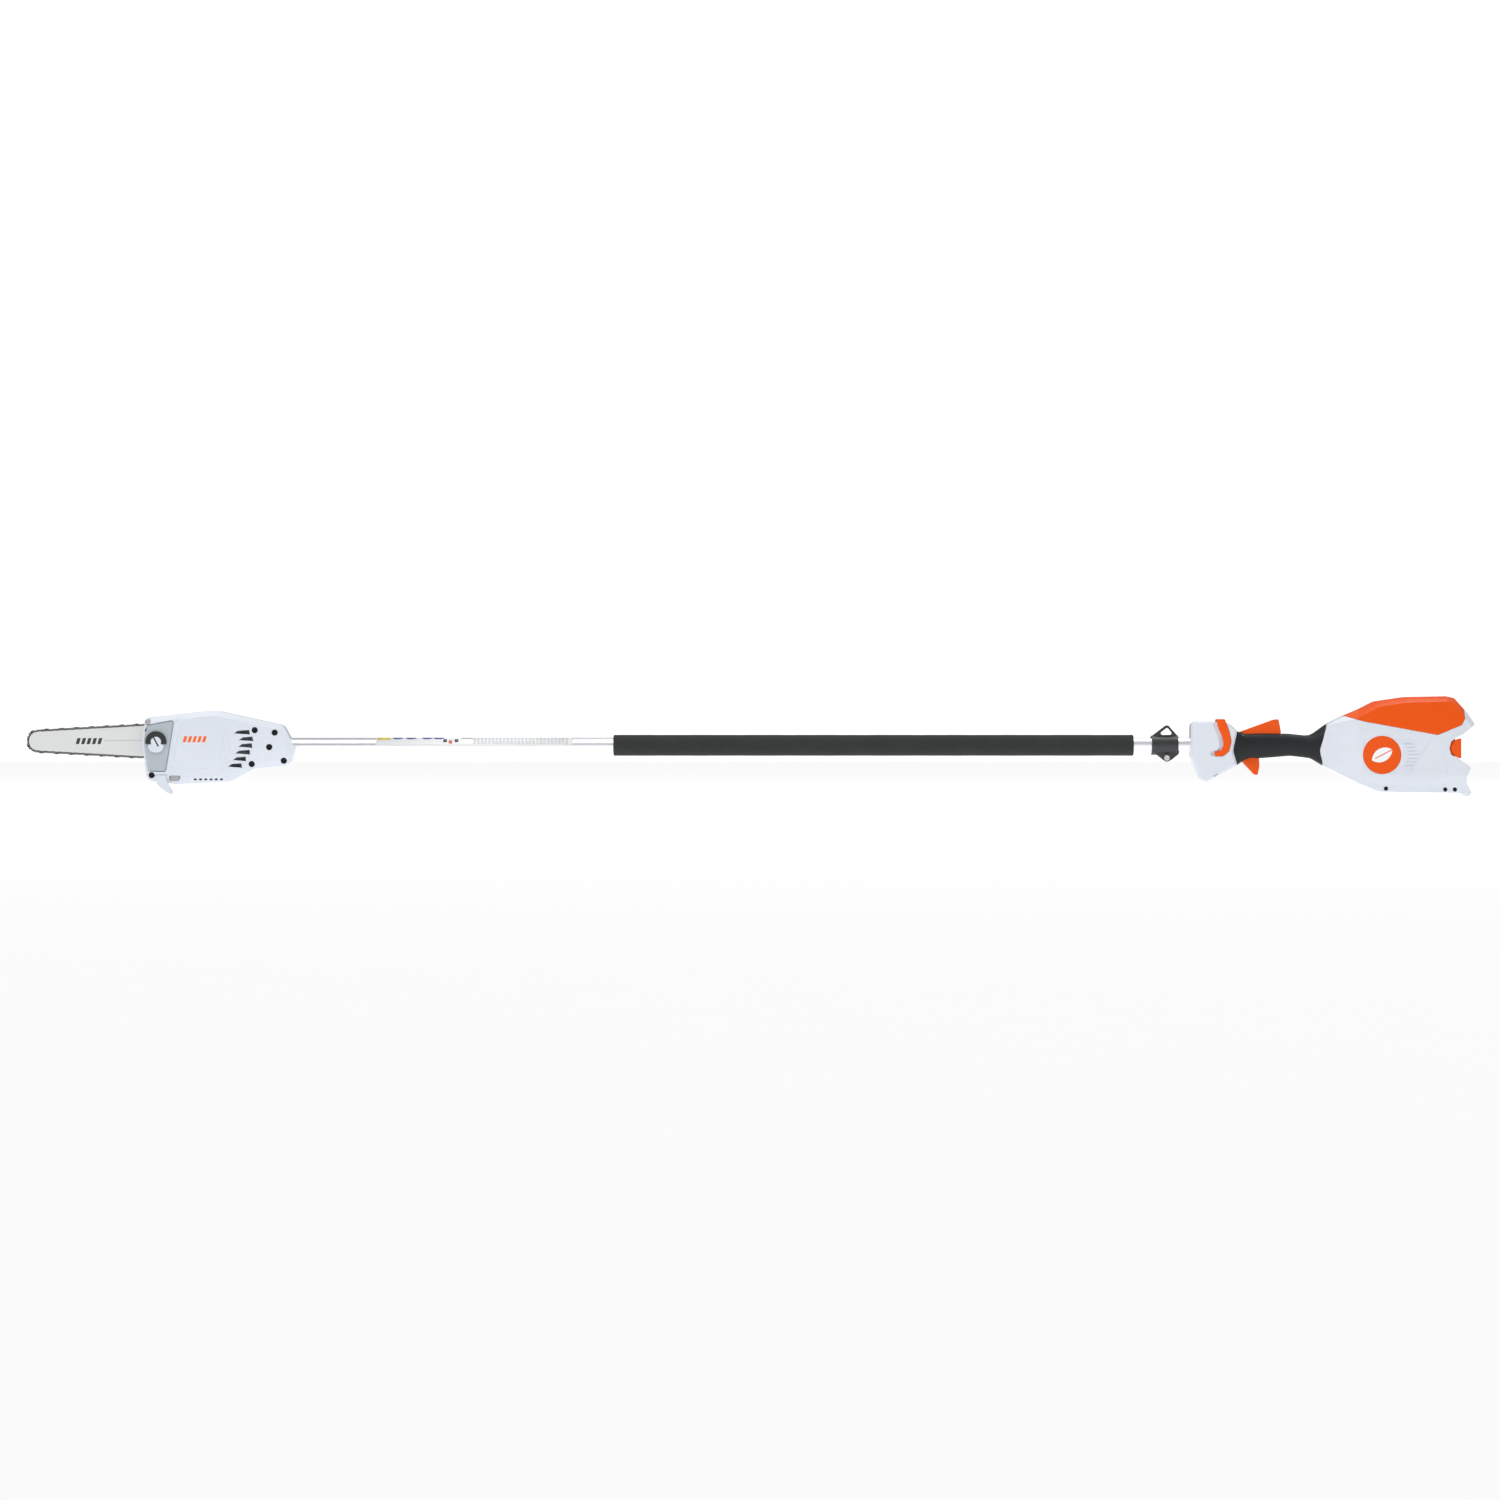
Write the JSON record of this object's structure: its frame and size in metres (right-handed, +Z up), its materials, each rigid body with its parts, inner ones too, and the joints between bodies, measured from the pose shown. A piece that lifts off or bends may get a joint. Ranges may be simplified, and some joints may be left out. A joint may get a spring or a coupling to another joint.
{
  "type": "cordless pole saw",
  "caption": "Battery pole saw: small chain-saw head with guide bar on a long aluminium shaft with foam sleeve, carrying eye, trigger handle and rear battery housing.",
  "frame": {"origin": "ground plane, under the middle of the overall length, in the shaft's own vertical plane", "axes": "+X along the shaft from the saw head to the battery housing, +Z up as the saw is held level, -Y towards the side with the oil tank"},
  "size_m": [2.4038, 0.096, 0.1656],
  "materials": {
    "white_plastic": "satin moulded polyamide, very light blue-grey white",
    "orange_plastic": "satin moulded orange",
    "black_plastic": "fine-grained moulded black",
    "grip_rubber": "soft overmoulded grip rubber",
    "foam": "closed-cell foam, matt, fine pores",
    "smoked_plastic": "translucent grey tank plastic, stored as opaque",
    "aluminium": "drawn and clear anodised",
    "bar_steel": "ground along its length, light coating",
    "steel": "machined steel",
    "chain_steel": "blued and oiled, bright cutting edges",
    "black_screw": "black oxide",
    "copper": "copper winding and contact blades"
  },
  "bodies": {
    "housing": {"head_shell_near": "white_plastic", "head_shell_far": "white_plastic", "sprocket_cover": "white_plastic", "branch_hook": "white_plastic", "control_shell_near": "white_plastic", "control_shell_far": "white_plastic", "rear_shell_near": "white_plastic", "rear_shell_far": "white_plastic", "top_cover": "orange_plastic", "switch_module": "black_plastic", "battery_tray": "black_plastic", "shaft_cable": "black_plastic", "handle_cable": "black_plastic", "grip": "grip_rubber", "foam_sleeve": "foam", "oil_tank": "smoked_plastic", "shaft_tube": "aluminium", "gearbox_plate": "aluminium", "oil_pump": "aluminium", "bumper_plate": "aluminium", "motor_controller": "aluminium", "outer_bearing": "steel", "bar_stud": "steel", "front_screw": "steel", "trigger_pin": "steel", "lockout_pin": "steel", "saw_chain": "chain_steel", "cover_nut": "black_screw", "head_screw_1": "black_screw", "head_screw_2": "black_screw", "head_screw_3": "black_screw", "head_screw_4": "black_screw", "head_screw_5": "black_screw", "tube_lock_screw": "black_screw", "rear_screw_1": "black_screw", "rear_screw_2": "black_screw", "rear_screw_3": "black_screw", "motor_stator": "copper", "battery_contacts": "copper"},
    "drive": {"drive_gear": "steel", "output_shaft": "steel", "drive_sprocket": "steel"},
    "rotor": {"motor_rotor": "steel", "motor_shaft": "steel", "cooling_fan": "black_plastic"},
    "pump_gear": {"pump_gear": "steel"},
    "bar_unit": {"guide_bar": "bar_steel", "tension_slider": "steel"},
    "nose_sprocket": {"nose_sprocket": "steel"},
    "tension_screw": {"tension_screw": "steel"},
    "oil_cap": {"oil_cap": "white_plastic", "oil_cap_ring": "black_plastic", "oil_cap_seal": "grip_rubber"},
    "harness_eye": {"harness_eye": "black_plastic", "eye_screw": "steel"},
    "unlock_slide": {"unlock_slide": "orange_plastic"},
    "lockout_lever": {"lockout_lever": "orange_plastic"},
    "trigger": {"trigger": "orange_plastic"},
    "latch_near": {"battery_latch_near": "orange_plastic"},
    "latch_far": {"battery_latch_far": "orange_plastic"}
  },
  "joints": [
    {"name": "drive_spin", "type": "hinge", "parent": "housing", "child": "drive", "pos_m": [-0.95015, 0.004, 0.0913], "axis": [0, 1, 0], "continuous": true},
    {"name": "motor_spin", "type": "hinge", "parent": "housing", "child": "rotor", "pos_m": [-0.91015, -0.02, 0.0913], "axis": [0, 1, 0], "continuous": true},
    {"name": "pump_spin", "type": "hinge", "parent": "housing", "child": "pump_gear", "pos_m": [-0.95015, 0.004, 0.0483], "axis": [0, 1, 0], "continuous": true},
    {"name": "bar_slide", "type": "slide", "parent": "housing", "child": "bar_unit", "axis": [1, 0, 0], "range_m": [0, 0.005]},
    {"name": "nose_spin", "type": "hinge", "parent": "bar_unit", "child": "nose_sprocket", "pos_m": [-1.18265, 0.02135, 0.0913], "axis": [0, 1, 0], "continuous": true},
    {"name": "tension_turn", "type": "hinge", "parent": "housing", "child": "tension_screw", "pos_m": [-0.99115, 0.0114, 0.0683], "axis": [1, 0, 0], "range_deg": [0, 1440]},
    {"name": "cap_turn", "type": "hinge", "parent": "housing", "child": "oil_cap", "pos_m": [-0.97915, -0.044, 0.0899], "axis": [0, -1, 0], "range_deg": [0, 90]},
    {"name": "eye_slide", "type": "slide", "parent": "housing", "child": "harness_eye", "axis": [1, 0, 0], "range_m": [-0.02, 0.012]},
    {"name": "unlock_push", "type": "slide", "parent": "housing", "child": "unlock_slide", "axis": [-1, 0, 0], "range_m": [0, 0.006], "stiffness_N_per_m": 400, "springref_m": -0.003},
    {"name": "lockout_press", "type": "hinge", "parent": "housing", "child": "lockout_lever", "pos_m": [0.81885, 0, 0.0998], "axis": [0, 1, 0], "range_deg": [0, 9], "stiffness_Nm_per_rad": 0.6, "springref_deg": -8.59},
    {"name": "trigger_pull", "type": "hinge", "parent": "housing", "child": "trigger", "pos_m": [0.82085, 0, 0.0723], "axis": [0, -1, 0], "range_deg": [0, 16], "stiffness_Nm_per_rad": 0.4, "springref_deg": -8.59},
    {"name": "latch_press_near", "type": "slide", "parent": "housing", "child": "latch_near", "axis": [0, 1, 0], "range_m": [0, 0.0025], "stiffness_N_per_m": 600, "springref_m": -0.002},
    {"name": "latch_press_far", "type": "slide", "parent": "housing", "child": "latch_far", "axis": [0, -1, 0], "range_m": [0, 0.0025], "stiffness_N_per_m": 600, "springref_m": -0.002}
  ],
  "couplings": [
    {"joint": "motor_spin", "follows": "drive_spin", "ratio": -4},
    {"joint": "pump_spin", "follows": "drive_spin", "ratio": -2.9091},
    {"joint": "nose_spin", "follows": "drive_spin", "ratio": 1.1429}
  ]
}
